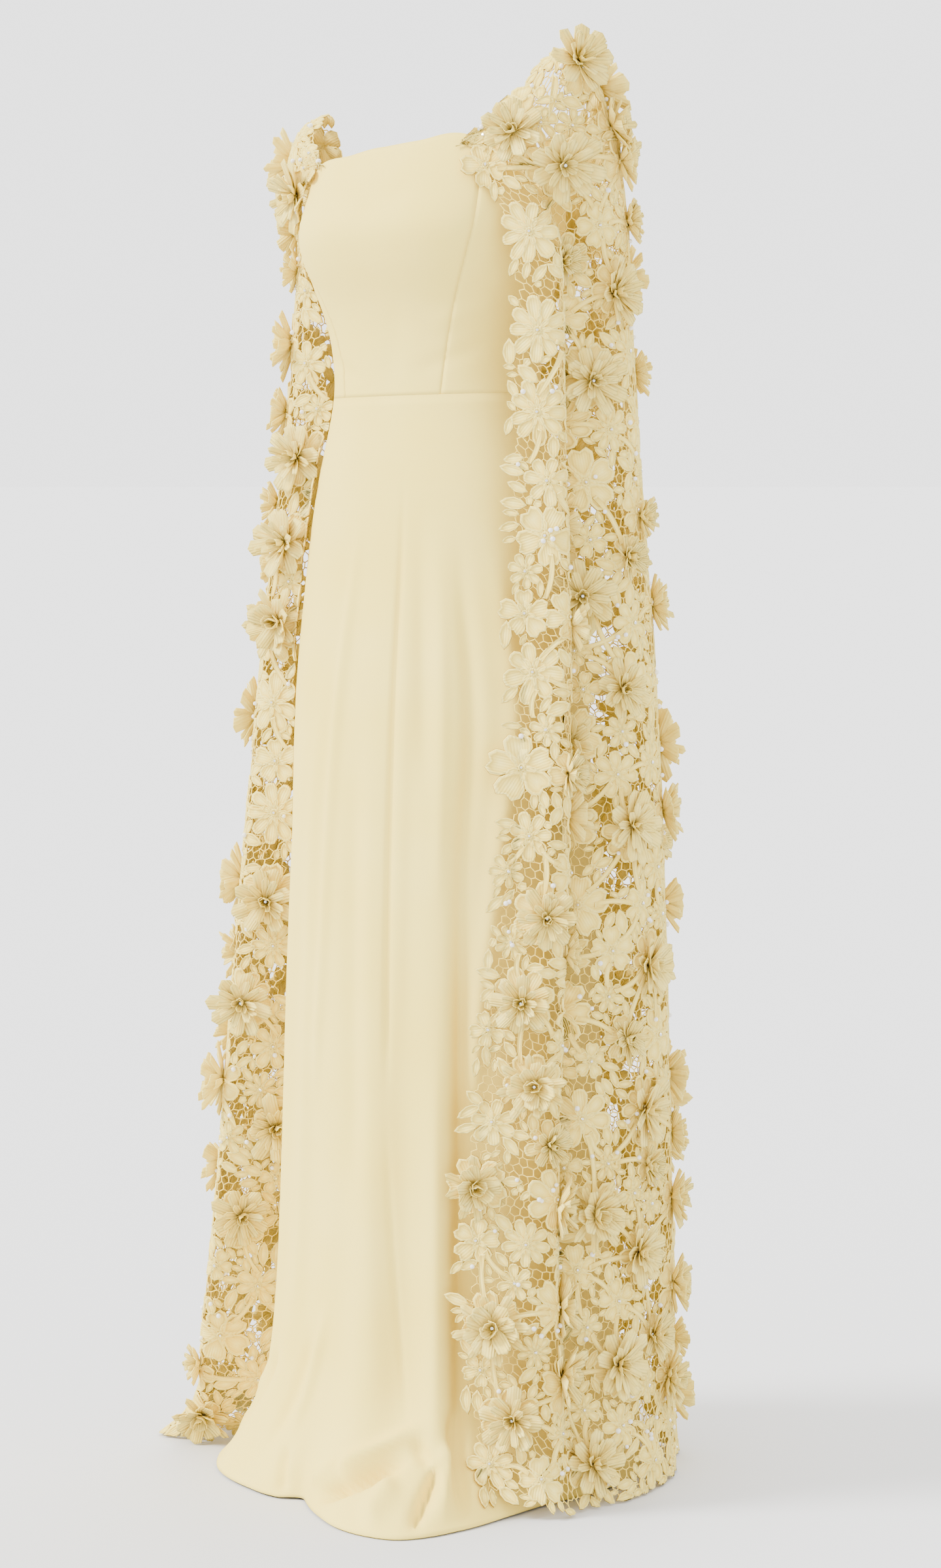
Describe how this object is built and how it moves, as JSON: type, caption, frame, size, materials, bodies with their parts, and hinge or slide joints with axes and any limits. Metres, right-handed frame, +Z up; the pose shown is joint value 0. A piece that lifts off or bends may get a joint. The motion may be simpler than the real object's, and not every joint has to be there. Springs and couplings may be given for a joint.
{
  "type": "cape gown",
  "caption": "Worn floor-length strapless column gown in smooth crepe, with a guipure lace flower cape over both shoulders to the floor; no wearer inside",
  "frame": {"origin": "Midway between the shoulders, where the wearer holds the gown up", "axes": "+Z up, the wearer faces -Y, and the wearer's left hand is on +X"},
  "size_m": [0.6144, 0.5629, 1.5603],
  "materials": {
    "crepe": "matte crepe with a faint sheen",
    "lace": "matte corded guipure lace"
  },
  "bodies": {
    "root": {"bodice_front": "crepe", "bodice_side_front_left": "crepe", "bodice_side_front_right": "crepe", "bodice_back_left": "crepe", "bodice_back_right": "crepe", "skirt_front": "crepe", "skirt_back_left": "crepe", "skirt_back_right": "crepe", "yoke_left": "lace", "yoke_right": "lace", "cape_left_front": "lace", "cape_left_side": "lace", "cape_back": "lace", "cape_right": "lace"}
  },
  "joints": []
}
